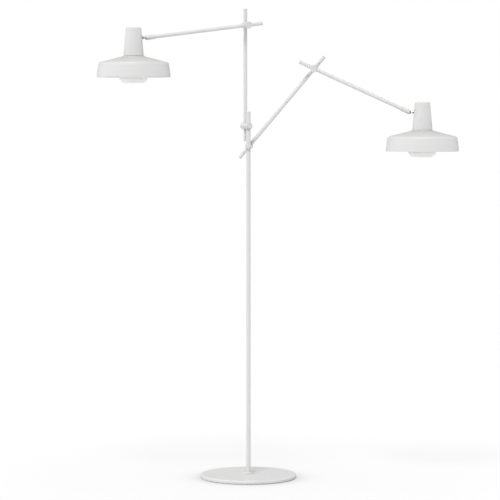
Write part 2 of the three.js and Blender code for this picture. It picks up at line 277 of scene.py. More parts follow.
def buildCoatGroup():
    # coat tone: two sizes of slow noise lighten and darken one colour; coat relief: a peel as of
    # fused powder, with a finer grain on it
    group, w = newGroup("coatTone", [("Tone", "Color", (0.8, 0.8, 0.8, 1)), ("Spread", "Float", 0.03),
                                     ("Peel scale", "Float", 800.0), ("Grain scale", "Float", 3600.0)],
                        [("Colour", "Color"), ("Relief", "Float")])
    given, back = w.node("NodeGroupInput"), w.node("NodeGroupOutput")
    broad, narrow = w.maths("MULTIPLY", w.noise(5.0, 2.0), 0.6), w.maths("MULTIPLY", w.noise(46.0, 3.0), 0.4)
    slow = w.maths("SUBTRACT", w.maths("ADD", broad, narrow), 0.5)
    gain = w.maths("ADD", 1.0, w.maths("MULTIPLY", slow, given.outputs["Spread"]))
    scaled = w.node("VectorMath", operation="SCALE")
    w.join(given.outputs["Tone"], scaled.inputs[0])
    w.join(gain, scaled.inputs["Scale"])
    w.join(scaled.outputs[0], back.inputs["Colour"])
    peel = w.maths("MULTIPLY", w.noise(given.outputs["Peel scale"], 1.5, 0.4), 0.75)
    grain = w.maths("MULTIPLY", w.noise(given.outputs["Grain scale"], 1.0, 0.5), 0.25)
    w.join(w.maths("ADD", peel, grain), back.inputs["Relief"])
    return group


def buildWearGroup():
    # where an outline turns outwards the coat is thinner: the mask is the edge value, broken up by noise
    group, w = newGroup("edgeWear", [("Amount", "Float", 0.5), ("Breakup scale", "Float", 260.0)],
                        [("Mask", "Float")])
    given, back = w.node("NodeGroupInput"), w.node("NodeGroupOutput")
    edge = w.maths("MAXIMUM", w.attribute("edge"), 0.0)
    broken = w.ranged(w.noise(given.outputs["Breakup scale"], 4.0, 0.6), 0.38, 0.66, 0.25, 1.0)
    worn = w.maths("MULTIPLY", w.maths("POWER", edge, 1.6), broken)
    mask = w.maths("MULTIPLY", worn, given.outputs["Amount"])
    w.join(w.maths("MINIMUM", mask, 1.0), back.inputs["Mask"])
    return group


def buildDustAndShadeGroup():
    # dust lies on what faces up, from normal height and patchy noise; inner corners get painted shade from the
    # edge value
    group, w = newGroup("dustAndCornerShade", [("Amount", "Float", 0.1)], [("Mask", "Float")])
    given, back = w.node("NodeGroupInput"), w.node("NodeGroupOutput")
    split = w.node("SeparateXYZ")
    w.join(w.node("NewGeometry").outputs["Normal"], split.inputs[0])
    upward = w.ranged(split.outputs["Z"], 0.55, 1.0, 0.0, 1.0)
    # painted shade: inward edge values, times six, darken inner corners
    inward = w.maths("MAXIMUM", w.maths("MULTIPLY", w.attribute("edge"), -1.0), 0.0)
    corner = w.maths("MULTIPLY", inward, 6.0)
    patches = w.ranged(w.noise(60.0, 5.0, 0.65), 0.35, 0.75, 0.3, 1.0)
    specks = w.ranged(w.noise(1500.0, 2.0, 0.5), 0.6, 0.72, 0.0, 1.0)
    laid = w.maths("MULTIPLY", upward, w.maths("ADD", patches, w.maths("MULTIPLY", specks, 0.7)))
    mask = w.maths("MULTIPLY", w.maths("ADD", laid, corner), given.outputs["Amount"])
    w.join(w.maths("MINIMUM", mask, 1.0), back.inputs["Mask"])
    return group


def buildHandlingGroup():
    # roughness: a middle value, moved up and down by broad smears and by fine scuffs
    group, w = newGroup("handling", [("Middle", "Float", 0.45), ("Spread", "Float", 0.1),
                                     ("Smear scale", "Float", 24.0)], [("Roughness", "Float")])
    given, back = w.node("NodeGroupInput"), w.node("NodeGroupOutput")
    smear = w.maths("SUBTRACT", w.noise(given.outputs["Smear scale"], 3.0, 0.55), 0.5)
    scuff = w.maths("SUBTRACT", w.noise(410.0, 4.0, 0.7), 0.5)
    moved = w.maths("ADD", w.maths("MULTIPLY", smear, 1.4), w.maths("MULTIPLY", scuff, 0.6))
    w.join(w.maths("ADD", given.outputs["Middle"], w.maths("MULTIPLY", moved, given.outputs["Spread"])),
           back.inputs["Roughness"])
    return group


def buildTurningGroup():
    # lathe marks: noise that changes quickly along the outline and slowly round it
    group, w = newGroup("latheMarks", [("Marks per mm", "Float", 6.0)], [("Relief", "Float")])
    given, back = w.node("NodeGroupInput"), w.node("NodeGroupOutput")
    split, joined = w.node("SeparateXYZ"), w.node("CombineXYZ")
    w.join(w.node("TexCoord").outputs["UV"], split.inputs[0])
    w.join(w.maths("MULTIPLY", split.outputs["X"], 2.0), joined.inputs["X"])
    w.join(w.maths("MULTIPLY", split.outputs["Y"], given.outputs["Marks per mm"]), joined.inputs["Y"])
    w.join(w.noise(1.0, 3.0, 0.6, joined.outputs[0]), back.inputs["Relief"])
    return group


shaderGroups = {
    "coatTone": buildCoatGroup(), "edgeWear": buildWearGroup(), "dustAndCornerShade": buildDustAndShadeGroup(),
    "handling": buildHandlingGroup(), "latheMarks": buildTurningGroup(),
}
print("shader groups built")


def startMaterial(name, constants):
    material = bpy.data.materials.new(name)
    material.use_nodes = True
    w = Wiring(material.node_tree)
    shader = material.node_tree.nodes["Principled BSDF"]
    for key, value in constants.items():
        shader.inputs[key].default_value = value
    return material, w, shader


def useGroup(w, name, **values):
    # a value called peel_scale goes to the socket "Peel scale"
    made = w.node("Group", node_tree=shaderGroups[name])
    for key, value in values.items():
        w.join(value, made.inputs[key[0].upper() + key[1:].replace("_", " ")])
    return made


def addBump(w, shader, height, strength, distance):
    bump = w.node("Bump")
    bump.inputs["Strength"].default_value, bump.inputs["Distance"].default_value = strength, distance
    w.join(height, bump.inputs["Height"])
    w.join(bump.outputs[0], shader.inputs["Normal"])


coatLook = {
    "base_paint": {"tone": (0.72, 0.72, 0.717, 1), "spread": 0.045, "peel": 620.0, "middle": 0.47,
                   "dustAndShade": 0.08, "wear": 0.5, "bump": 0.20},
    "tube_paint": {"tone": (0.72, 0.72, 0.717, 1), "spread": 0.035, "peel": 900.0, "middle": 0.46,
                   "dustAndShade": 0.10, "wear": 0.4, "bump": 0.08},
    "clamp_paint": {"tone": (0.71, 0.71, 0.707, 1), "spread": 0.05, "peel": 1100.0, "middle": 0.46,
                    "dustAndShade": 0.10, "wear": 0.7, "bump": 0.14},
    "head_paint": {"tone": (0.72, 0.72, 0.717, 1), "spread": 0.03, "peel": 760.0, "middle": 0.46,
                   "dustAndShade": 0.14, "wear": 0.45, "bump": 0.18},
}
coatShared = {
    # the dark tone here colours both settled dust and the painted shade in inner corners
    "worn": (0.80, 0.80, 0.796, 1), "dustAndShadeTone": (0.50, 0.497, 0.488, 1), "depth": 0.0004, "smears": 0.12,
    "polish": 0.14, "dulling": 0.35,  # how far wear lowers the roughness and dust raises it
    "clearScale": 90.0, "clearLow": 0.04, "clearHigh": 0.12,
}


def coatMaterial(slotName):
    look, c = coatLook[slotName], coatShared
    material, w, shader = startMaterial(slotName, {"Coat Roughness": 0.35, "Specular IOR Level": 0.5})
    coat = useGroup(w, "coatTone", tone=look["tone"], spread=look["spread"], peel_scale=look["peel"])
    wear = useGroup(w, "edgeWear", amount=look["wear"]).outputs["Mask"]
    # this mask holds dust on what faces up and painted shade in inner corners
    dustAndShade = useGroup(w, "dustAndCornerShade", amount=look["dustAndShade"]).outputs["Mask"]
    worn = w.mixed(wear, coat.outputs["Colour"], c["worn"])
    w.join(w.mixed(dustAndShade, worn, c["dustAndShadeTone"]), shader.inputs["Base Color"])
    rough = useGroup(w, "handling", middle=look["middle"], spread=c["smears"]).outputs["Roughness"]
    shine = w.maths("SUBTRACT", rough, w.maths("MULTIPLY", wear, c["polish"]))
    w.join(w.maths("ADD", shine, w.maths("MULTIPLY", dustAndShade, c["dulling"])), shader.inputs["Roughness"])
    clear = w.ranged(w.noise(c["clearScale"], 3.0), 0.35, 0.65, c["clearLow"], c["clearHigh"])
    w.join(clear, shader.inputs["Coat Weight"])
    addBump(w, shader, coat.outputs["Relief"], look["bump"], c["depth"])
    return material


plasticLook = {
    "tone": (0.70, 0.70, 0.695, 1), "spread": 0.05, "peel": 2200.0, "grain": 6000.0, "middle": 0.55,
    "smears": 0.1, "worn": (0.78, 0.78, 0.775, 1), "wear": 0.5, "breakup": 420.0, "bump": 0.25, "depth": 0.0003,
}


def plasticMaterial():
    look = plasticLook
    material, w, shader = startMaterial("plastic", {"IOR": 1.49})
    skin = useGroup(w, "coatTone", tone=look["tone"], spread=look["spread"],
                    peel_scale=look["peel"], grain_scale=look["grain"])
    wear = useGroup(w, "edgeWear", amount=look["wear"], breakup_scale=look["breakup"]).outputs["Mask"]
    w.join(w.mixed(wear, skin.outputs["Colour"], look["worn"]), shader.inputs["Base Color"])
    w.join(useGroup(w, "handling", middle=look["middle"], spread=look["smears"]).outputs["Roughness"],
           shader.inputs["Roughness"])
    addBump(w, shader, skin.outputs["Relief"], look["bump"], look["depth"])
    return material


metalLook = {
    "ball_nickel": {"tone": (0.6, 0.6, 0.595, 1), "worn": (0.74, 0.74, 0.735, 1), "middle": 0.47,
                    "marks": 5.0, "bump": 0.18},
    "steel": {"tone": (0.42, 0.425, 0.43, 1), "worn": (0.58, 0.58, 0.58, 1), "middle": 0.38,
              "marks": 2.5, "bump": 0.35},
}
metalShared = {
    "spread": 0.18, "peel": 300.0, "wear": 0.9, "breakup": 700.0, "dustAndShade": 0.12,
    # the dark tone here colours both settled dust and the painted shade in inner corners
    "dustAndShadeTone": (0.30, 0.29, 0.28, 1), "smears": 0.22, "smearScale": 160.0, "depth": 0.0001,
}


def metalMaterial(slotName):
    look, m = metalLook[slotName], metalShared
    material, w, shader = startMaterial(slotName, {"Metallic": 1.0})
    skin = useGroup(w, "coatTone", tone=look["tone"], spread=m["spread"], peel_scale=m["peel"])
    wear = useGroup(w, "edgeWear", amount=m["wear"], breakup_scale=m["breakup"]).outputs["Mask"]
    # this mask holds dust on what faces up and painted shade in inner corners
    dustAndShade = useGroup(w, "dustAndCornerShade", amount=m["dustAndShade"]).outputs["Mask"]
    bright = w.mixed(wear, skin.outputs["Colour"], look["worn"])
    w.join(w.mixed(dustAndShade, bright, m["dustAndShadeTone"]), shader.inputs["Base Color"])
    rough = useGroup(w, "handling", middle=look["middle"], spread=m["smears"], smear_scale=m["smearScale"])
    w.join(rough.outputs["Roughness"], shader.inputs["Roughness"])
    marks = useGroup(w, "latheMarks", marks_per_mm=look["marks"]).outputs["Relief"]
    addBump(w, shader, marks, look["bump"], m["depth"])
    return material


feltLook = {
    "dark": (0.68, 0.678, 0.67, 1), "light": (0.82, 0.817, 0.81, 1), "bump": 0.7, "depth": 0.0008,
    "strands": ((2600, 320, 900), (340, 2400, 900)), "level": (0.5, 0.62), "roughness": (0.97, 0.86),
}


def feltMaterial():
    # pressed fibres: thin bright strands where two stretched noises cross a level, over a mottled ground
    material, w, shader = startMaterial("pad_felt", {"Sheen Weight": 0.35, "Sheen Roughness": 0.5})
    strands = []
    for stretch in feltLook["strands"]:
        scaled = w.node("Mapping")
        scaled.inputs["Scale"].default_value = stretch
        w.join(w.place(), scaled.inputs["Vector"])
        strands.append(w.ranged(w.noise(1.0, 3.0, 0.6, scaled.outputs[0]), *feltLook["level"], 0.0, 1.0))
    fibres = w.maths("MAXIMUM", *strands)
    mottle = w.ranged(w.noise(120.0, 4.0, 0.6), 0.3, 0.7, 0.0, 0.6)
    shown = w.maths("MAXIMUM", fibres, mottle)
    w.join(w.mixed(shown, feltLook["dark"], feltLook["light"]), shader.inputs["Base Color"])
    w.join(w.ranged(fibres, 0.0, 1.0, *feltLook["roughness"]), shader.inputs["Roughness"])
    addBump(w, shader, w.maths("ADD", fibres, mottle), feltLook["bump"], feltLook["depth"])
    return material


glassLook = {
    # glow is a painted glow on the opal bowl; no lamp is lit inside it
    "opal_glass": {"tone": (0.86, 0.86, 0.852, 1), "spread": 0.02, "middle": 0.3, "subsurface": 0.25,
                   "coat": 0.12, "glow": 0.08},
    "bulb_glass": {"tone": (0.80, 0.785, 0.74, 1), "spread": 0.03, "middle": 0.26, "subsurface": 0.3,
                   "coat": 0.1, "glow": 0.0},
}
glassShared = {
    # the dark tone here colours both settled dust and the painted shade in inner corners
    "peel": 90.0, "grain": 5200.0, "dustAndShade": 0.08, "dustAndShadeTone": (0.6, 0.59, 0.57, 1), "smears": 0.14,
    "smearScale": 38.0, "bump": 0.12, "depth": 0.0003,
    "glowFrom": 30, "glowFull": 56,  # millimetres along the outline from the bowl's middle
}


def glassMaterial(slotName):
    # blown opal: cloudy tone, a very faint waviness from blowing and a soft etched grain
    look, g = glassLook[slotName], glassShared
    material, w, shader = startMaterial(slotName, {
        "IOR": 1.5, "Subsurface Weight": look["subsurface"], "Subsurface Scale": 0.003,
        "Subsurface Radius": (1, 1, 1), "Coat Roughness": 0.12, "Emission Strength": look["glow"]})
    skin = useGroup(w, "coatTone", tone=look["tone"], spread=look["spread"], peel_scale=g["peel"],
                    grain_scale=g["grain"])
    # this mask holds dust on what faces up and painted shade in inner corners
    dustAndShade = useGroup(w, "dustAndCornerShade", amount=g["dustAndShade"]).outputs["Mask"]
    w.join(w.mixed(dustAndShade, skin.outputs["Colour"], g["dustAndShadeTone"]), shader.inputs["Base Color"])
    rough = useGroup(w, "handling", middle=look["middle"], spread=g["smears"], smear_scale=g["smearScale"])
    w.join(rough.outputs["Roughness"], shader.inputs["Roughness"])
    clear = w.ranged(w.noise(60.0, 2.0), 0.3, 0.7, look["coat"] * 0.5, look["coat"] * 1.5)
    w.join(clear, shader.inputs["Coat Weight"])
    addBump(w, shader, skin.outputs["Relief"], g["bump"], g["depth"])
    # painted glow on the wall, as if light came through it: none at the floor of the bowl, more towards the rim
    # of the shade
    split = w.node("SeparateXYZ")
    w.join(w.node("TexCoord").outputs["UV"], split.inputs[0])
    paintedGlowShare = w.ranged(split.outputs["Y"], g["glowFrom"], g["glowFull"], 0.0, 1.0)
    w.join(w.mixed(paintedGlowShare, (0, 0, 0, 1), look["tone"]), shader.inputs["Emission Color"])
    return material


ceramicLook = {
    "tone": (0.72, 0.71, 0.68, 1), "spread": 0.06, "peel": 260.0, "grain": 2600.0, "middle": 0.3,
    "smears": 0.15, "speck": (0.52, 0.49, 0.44, 1), "speckScale": 1300.0, "bump": 0.2, "depth": 0.0004,
}


def ceramicMaterial():
    # glazed porcelain with a few darker specks under the glaze
    look = ceramicLook
    material, w, shader = startMaterial("holder_ceramic", {"IOR": 1.52})
    skin = useGroup(w, "coatTone", tone=look["tone"], spread=look["spread"], peel_scale=look["peel"],
                    grain_scale=look["grain"])
    specks = w.ranged(w.noise(look["speckScale"], 1.0), 0.66, 0.72, 0.0, 0.7)
    w.join(w.mixed(specks, skin.outputs["Colour"], look["speck"]), shader.inputs["Base Color"])
    w.join(useGroup(w, "handling", middle=look["middle"], spread=look["smears"]).outputs["Roughness"],
           shader.inputs["Roughness"])
    addBump(w, shader, skin.outputs["Relief"], look["bump"], look["depth"])
    return material


finishes = {name: coatMaterial(name) for name in coatLook}
finishes.update({name: metalMaterial(name) for name in metalLook})
finishes.update({name: glassMaterial(name) for name in glassLook})
finishes.update(plastic=plasticMaterial(), pad_felt=feltMaterial(), holder_ceramic=ceramicMaterial())
print("finishes made:", len(finishes))


def fitted(piece, node, body, slotName):
    # the piece stands for its CAD node, moves with the body and takes the slot's finish
    piece.data.materials.clear()
    piece.data.materials.append(finishes[slotName])
    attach(piece, body)
    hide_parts(node)


def turnedPiece(name, corners, sides, place, closed=False):
    return meshPiece(name, turnedShell(corners, sides, closed), place)


standing = np.eye(4)
alongX = turnAbout("y", 90)  # turns an outline's axis from Z to X

# stand
baseShape = {"radius": 152.5, "under": 2.0, "top": 12, "edge": 3.5, "underEdge": 0.9, "hole": 3.5,
             "recess": 8.5, "recessTop": 7, "sides": 192}
padShape = {"radius": 151.8, "thick": 1.7, "edge": 0.5, "sides": 160}
postShape = {"radius": 7, "bore": 5.5, "thread": 3.3, "foot": 12.3, "threadTop": 37.3, "top": 1162.7,
             "sides": 64}
collarShape = {"bore": 7.3, "radius": 15, "foot": 12.3, "top": 18.5, "edge": 1.6, "sides": 72}
postCapShape = {"radius": 7, "spigot": 5.2, "spigotEnd": 1151, "shoulder": 1163, "top": 1166, "edge": 1.6,
                "sides": 64}


def makeStand():
    b, p, c, k, d = baseShape, postShape, collarShape, postCapShape, padShape
    plate = [(b["recess"], b["under"], 0.4), (b["radius"], b["under"], b["underEdge"]),
             (b["radius"], b["top"], b["edge"]), (b["hole"], b["top"], 0.3), (b["hole"], b["recessTop"], 0),
             (b["recess"], b["recessTop"], 0.4)]
    fitted(turnedPiece("basePlate", plate, b["sides"], standing, True), "base_plate", "stand", "base_paint")
    pad = [(0, 0), (d["radius"], 0, d["edge"]), (d["radius"], d["thick"], d["edge"]), (0, d["thick"])]
    fitted(turnedPiece("basePad", pad, d["sides"], standing), "base_pad", "stand", "pad_felt")
    tube = [(p["thread"], p["foot"], 0.2), (p["radius"], p["foot"], 0.3), (p["radius"], p["top"], 0.2),
            (p["bore"], p["top"], 0.2), (p["bore"], p["threadTop"], 0), (p["thread"], p["threadTop"], 0)]
    fitted(turnedPiece("post", tube, p["sides"], standing, True), "post_tube", "stand", "tube_paint")
    collar = [(c["bore"], c["foot"], 0.2), (c["radius"], c["foot"], 0.4), (c["radius"], c["top"], c["edge"]),
              (c["bore"], c["top"], 0.5)]
    piece = turnedPiece("postCollar", collar, c["sides"], standing, True)
    fitted(piece, "post_collar", "stand", "tube_paint")
    cap = [(0, k["spigotEnd"]), (k["spigot"], k["spigotEnd"], 0.4), (k["spigot"], k["shoulder"], 0),
           (k["radius"], k["shoulder"], 0.25), (k["radius"], k["top"], k["edge"]), (0, k["top"])]
    fitted(turnedPiece("postCap", cap, k["sides"], standing), "post_cap", "stand", "plastic")
    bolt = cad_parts["post_bolt"]  # hidden in the base, so the plain one stays
    bolt.data.materials.clear()
    bolt.data.materials.append(finishes["steel"])


# swivel clamp: the axis runs along X, from the carrying tube at 0 to the carried tube at the spacing
clampShape = {
    "spacing": 25, "radius": 10.3, "edge": 0.9, "seamEdge": 0.35, "carrierBore": 8.5, "cradleBore": 7.9,
    "carrierEnd": -10.4, "meeting": 12.5, "cradleEnd": 35, "spigot": 7.7, "plunger": 4.9, "cap": 7.5,
    "capFace": -11.9, "wall": 1, "shortOfAxis": 3, "drillHalf": 20, "bushHalf": 9.9, "bushSides": 64,
    "plungerSides": 40, "gap": 0.3, "sides": 72,
    "dimple": {"depth": 0.9, "floor": 1.4, "mouth": 2.2},
}
knobShape = {"radius": 11, "back": 35.3, "face": 43.5, "stud": 4, "edge": 1.3, "dishRadius": 8.1, "dish": 0.5,
             "sides": 72}


def clampBodies(name, bushed):
    bodies = {part: name + "_" + part for part in ("carrier", "cradle", "knob", "slider")}
    return {**bodies, "bushed": name + bushed}


def makeClamp(name, bodies, carrierPlace, cradlePlace, carried):
    s, k = clampShape, knobShape
    gap, half, spacing, long = s["gap"], s["gap"] / 2, s["spacing"], s["drillHalf"]
    onCarrier, onCradle = carrierPlace @ alongX, cradlePlace @ shiftBy(-spacing, 0, 0) @ alongX
    floor, recess = s["carrierBore"] + s["wall"], s["carrierEnd"] + s["wall"]
    barrel = [(0, recess), (s["cap"] + gap, recess, 0), (s["cap"] + gap, s["carrierEnd"], 0.3),
              (s["radius"], s["carrierEnd"], s["edge"]), (s["radius"], s["meeting"] - half, s["seamEdge"]),
              (s["spigot"] + gap, s["meeting"] - half, 0.2), (s["spigot"] + gap, floor, 0),
              (s["plunger"] + gap, floor, 0.2), (s["plunger"] + gap, 0, 0), (0, 0)]
    carrier = drilled(turnedPiece(name + "CarrierBarrel", barrel, s["sides"], onCarrier), s["carrierBore"],
                      carrierPlace, -long, long)
    fitted(carrier, name + "_carrier_barrel", bodies["carrier"], "clamp_paint")
    # the blind holes for the plunger and the knob's stud open into the rod's bore, short of its axis
    near, far = spacing - s["shortOfAxis"], spacing + s["shortOfAxis"]
    barrel = [(0, near), (s["plunger"] + gap, near, 0), (s["plunger"] + gap, floor + gap, 0.2),
              (s["spigot"], floor + gap, 0.3), (s["spigot"], s["meeting"] + half, 0),
              (s["radius"], s["meeting"] + half, s["seamEdge"]), (s["radius"], s["cradleEnd"], s["edge"]),
              (k["stud"] + gap, s["cradleEnd"], 0.3), (k["stud"] + gap, far, 0), (0, far)]
    cradle = drilled(turnedPiece(name + "CradleBarrel", barrel, s["sides"], onCradle), s["cradleBore"],
                     cradlePlace, -long, long)
    fitted(cradle, name + "_cradle_barrel", bodies["cradle"], "clamp_paint")
    face, d = s["capFace"], s["dimple"]
    cap = [(0, face + d["depth"]), (d["floor"], face + d["depth"], 0.3), (d["mouth"], face, 0.4),
           (s["cap"], face, 1.0), (s["cap"], recess - gap, 0.2), (0, recess - gap)]
    piece = turnedPiece(name + "Cap", cap, s["sides"], onCarrier)
    fitted(piece, name + "_cap", bodies["carrier"], "clamp_paint")
    low, high = s["carrierBore"], spacing - s["cradleBore"]
    pin = [(0, low), (s["plunger"], low, 0.5), (s["plunger"], high, 0.5), (0, high)]
    piece = turnedPiece(name + "Plunger", pin, s["plungerSides"], onCarrier)
    fitted(piece, name + "_plunger", bodies["carrier"], "steel")
    tip = spacing + s["cradleBore"]
    knob = [(0, tip), (k["stud"], tip, 0.5), (k["stud"], k["back"], 0.3), (k["radius"], k["back"], k["edge"]),
            (k["radius"], k["face"], k["edge"]), (k["dishRadius"], k["face"], 0.4),
            (k["dishRadius"] - 0.5, k["face"] - k["dish"], 0.4), (0, k["face"] - k["dish"])]
    piece = turnedPiece(name + "Knob", knob, k["sides"], onCradle)
    fitted(piece, name + "_knob", bodies["knob"], "clamp_paint")
    for tag, bore, place, inner in (("Carrier", s["carrierBore"], carrierPlace, carried),
                                    ("Cradle", s["cradleBore"], cradlePlace, tubeShape["radius"])):
        ring = [(inner + gap, -s["bushHalf"], 0.3), (bore - gap, -s["bushHalf"], 0.3),
                (bore - gap, s["bushHalf"], 0.3), (inner + gap, s["bushHalf"], 0.3)]
        body = bodies["slider" if tag == "Carrier" else "bushed"]
        piece = turnedPiece(f"{name}{tag}Bush", ring, s["bushSides"], place, True)
        fitted(piece, f"{name}_{tag.lower()}_bush", body, "plastic")


# rods and arms
tubeShape = {"radius": 6, "bore": 4.8, "flange": 1, "spigot": 4.5, "spigotLength": 10, "plugEdge": 0.6,
             "rodLength": 418, "rodBelow": 48, "leadHole": 2.2, "gap": 0.3, "sides": 56}
socketShape = {"radius": 7.5, "length": 28, "depth": 14, "inset": 1, "mouth": 6.3, "lead": 4.3, "edge": 0.6,
               "sides": 64}


def makeTube(name, node, body, place, start, end):
    t = tubeShape
    wall = [(t["bore"], start, 0.2), (t["radius"], start, 0.2), (t["radius"], end, 0.2),
            (t["bore"], end, 0.2)]
    fitted(turnedPiece(name, wall, t["sides"], place, True), node, body, "tube_paint")


def makeRod(side, place):
    t, body = tubeShape, side + "_rod"
    bottom, top = -t["rodBelow"], t["rodLength"] - t["rodBelow"]
    inset, deep = t["flange"] + t["gap"], t["flange"] + t["spigotLength"]
    makeTube(side + "Rod", side + "_rod_tube", body, place, bottom + inset, top - inset)
    plug = [(0, 0), (t["radius"], 0, t["plugEdge"]), (t["radius"], t["flange"], 0.15),
            (t["spigot"], t["flange"], 0), (t["spigot"], deep, 0.5), (0, deep)]
    for tag, at in (("bottom", shiftBy(0, 0, bottom)), ("top", shiftBy(0, 0, top) @ turnAbout("x", 180))):
        piece = turnedPiece(f"{side}Rod{tag.capitalize()}Plug", plug, t["sides"], place @ at)
        fitted(piece, f"{side}_rod_{tag}_plug", body, "plastic")


def makeArm(side, place):
    t, s, body = tubeShape, socketShape, side + "_arm"
    inner = lampSetting[side]["armIn"]
    mouth = lampSetting["armLength"] - inner
    shoulder = mouth - s["length"] + s["depth"]
    nearEnd, farEnd = -inner + t["flange"] + t["gap"], shoulder - t["gap"]
    makeTube(side + "Arm", side + "_arm_tube", body, place, nearEnd, farEnd)
    deep = t["flange"] + t["spigotLength"]
    bush = [(t["leadHole"], 0, 0.5), (t["radius"], 0, t["plugEdge"]), (t["radius"], t["flange"], 0.15),
            (t["spigot"], t["flange"], 0), (t["spigot"], deep, 0.4), (t["leadHole"], deep, 0.3)]
    piece = turnedPiece(side + "LeadBush", bush, t["sides"], place @ shiftBy(0, 0, -inner), True)
    fitted(piece, side + "_arm_lead_bush", body, "plastic")
    start, bore = mouth - s["length"], t["radius"] + t["gap"]
    mouthAngle = math.degrees(math.asin(s["inset"] / s["mouth"]))
    throatAngle = -math.degrees(math.acos(s["lead"] / s["mouth"]))
    cup = arcCorners((0, mouth - s["inset"]), s["mouth"], mouthAngle, throatAngle, 10)
    sleeve = [(bore, start, 0.2), (s["radius"], start, 0.8), (s["radius"], mouth, s["edge"]), *cup,
              (s["lead"], shoulder, 0.2), (bore, shoulder, 0)]
    piece = turnedPiece(side + "BallSocket", sleeve, s["sides"], place, True)
    fitted(piece, side + "_arm_socket", body, "tube_paint")


# ball stud and lamp head; heights count from the shade's rim
ballShape = {"radius": 6, "neck": 3, "neckStart": 5.5, "collar": 4.6, "collarStart": 9.2, "collarEnd": 14.4,
             "shank": 2.8, "end": 19.5, "sides": 64}
stemShape = {"bottomRadius": 31.8, "bottom": 67, "topRadius": 23.75, "top": 155, "wall": 1.4, "edge": 4,
             "hole": 3.2, "holeReach": 5, "sides": 128}
shadeShape = {
    "rim": 115.3, "wall": 1.4, "waist": (113.0, 22, 90), "shoulder": (110.7, 36), "bend": (101.6, 38.6),
    # the bend's edge value is painted shade that tones down the highlight on the shade's shoulder
    "bendRadius": 9, "bendFrom": 12, "bendTo": 72, "bendDust": -0.28, "coneTop": (37, 64.3),
    "coneFall": 0.2544,
    # radius and edge value down the cone: more painted shade the nearer the stem
    "coneShade": ((97, -0.34), (84, -0.42), (70, -0.54), (56, -0.68), (46, -0.82), (37, -0.90)),
    "seat": (33, 66.6), "seatDust": -0.5, "neck": 21.5, "top": 67, "sides": 192,
}
# a bowl with a nearly straight side, rounded in to a flat floor below and to its neck above
diffuserShape = {
    "outer": ((0, -18.5), (31, -18.5, 9), (38.6, -14.0, 9), (43.3, -7.4, 10), (44.75, 0, 30), (45, 52, 5),
              (41, 58.4, 6), (31, 64.9, 1.2), (21.8, 64.9, 0.5)),
    "inner": ((21.8, 62.5, 0.5), (30, 62.5, 1), (39.2, 56.4, 5), (42.6, 51, 5), (42.35, 0, 26),
              (41.0, -6.6, 8), (37.2, -12.0, 8), (30.2, -16.1, 7), (0, -16.1)),
    "sides": 144,
}
holderShape = {"radius": 20.5, "flange": 25, "flangeThick": 2.7, "bottom": 50, "top": 104, "crown": 8,
               "crownIn": 5.5, "bore": 13.8, "boreTop": 86, "seat": 67.3, "sides": 72}
ringShape = {"bore": 20.8, "radius": 26.5, "bottom": 57.2, "top": 62.2, "sides": 72}
bulbShape = {"globe": 22.5, "globeAt": 15.5, "neck": 13.4, "neckAt": 45, "cap": 13.1, "capAt": 56,
             "threadAt": 57.2, "pitch": 3.6, "rise": 1.8, "groove": 12.2, "turns": 6,
             "shoulder": (12.6, 80, 0.6), "tip": 9, "end": 84, "sides": 72}


def makeBall(side, place):
    b = ballShape
    neckAngle = math.degrees(math.acos(b["neck"] / b["radius"]))
    ball, thin = arcCorners((0, 0), b["radius"], -82, neckAngle, 18), b["neck"] - 0.1
    # the neck's rows carry the full edge value, so they take the lighter colour
    stud = [(0, -b["radius"]), *ball, (thin, b["neckStart"], 0, 1), (thin, b["collarStart"] - 0.4, 0, 1),
            (b["neck"], b["collarStart"], 0, 0), (b["collar"], b["collarStart"], 0.5),
            (b["collar"], b["collarEnd"], 0.4), (b["shank"], b["collarEnd"], 0), (b["shank"], b["end"], 0.4),
            (0, b["end"])]
    piece = turnedPiece(side + "BallStud", stud, b["sides"], place)
    fitted(piece, side + "_head_ball_stud", side + "_ball", "ball_nickel")


def shadeOutline():
    s = shadeShape
    w, bend, low, high = s["wall"], s["bend"], s["bendFrom"], s["bendTo"]
    coneRadius, coneHeight = s["coneTop"]
    # painted shade: the cone's and the seat's edge values darken them towards the stem
    cone = [(r, coneHeight - s["coneFall"] * (r - coneRadius), 0, dustAndShade) for r, dustAndShade in s["coneShade"]]
    arc = arcCorners(bend, s["bendRadius"], low, high, 10)
    # painted shade on the bend, growing towards the cone
    turn = [(*at, share * s["bendDust"]) for at, share in zip(arc, np.linspace(0, 1, len(arc)))]
    outer = [(s["rim"], 0, 0.65), s["waist"], (*s["shoulder"], 0), *turn, *cone,
             (*s["seat"], 0, s["seatDust"]), (s["neck"], s["top"], 0.3)]
    inner = [(s["neck"], s["top"] - w, 0.3), (s["seat"][0] + 0.5, s["seat"][1] - w, 0.5),
             (coneRadius - 0.4, coneHeight - w, 4), *arcCorners(bend, s["bendRadius"] - w, high, low, 10),
             (s["shoulder"][0] - w, s["shoulder"][1], 0), (s["rim"] - w, 0, 0.65)]
    return outer + inner


def bulbOutline():
    # a globe that narrows to a threaded cap; the thread is a row of rounded ridges
    b = bulbShape
    starts = [b["threadAt"] + b["pitch"] * i for i in range(b["turns"])]
    ridges = [(r, start + z, 0.5) for start in starts for r, z in ((b["cap"], 0), (b["groove"], b["rise"]))]
    return [(0, b["globeAt"] - b["globe"]), *arcCorners((0, b["globeAt"]), b["globe"], -84, 48, 22),
            (b["neck"], b["neckAt"], 14), (b["cap"], b["capAt"], 1), *ridges, b["shoulder"],
            (b["tip"], b["end"], 1), (0, b["end"])]


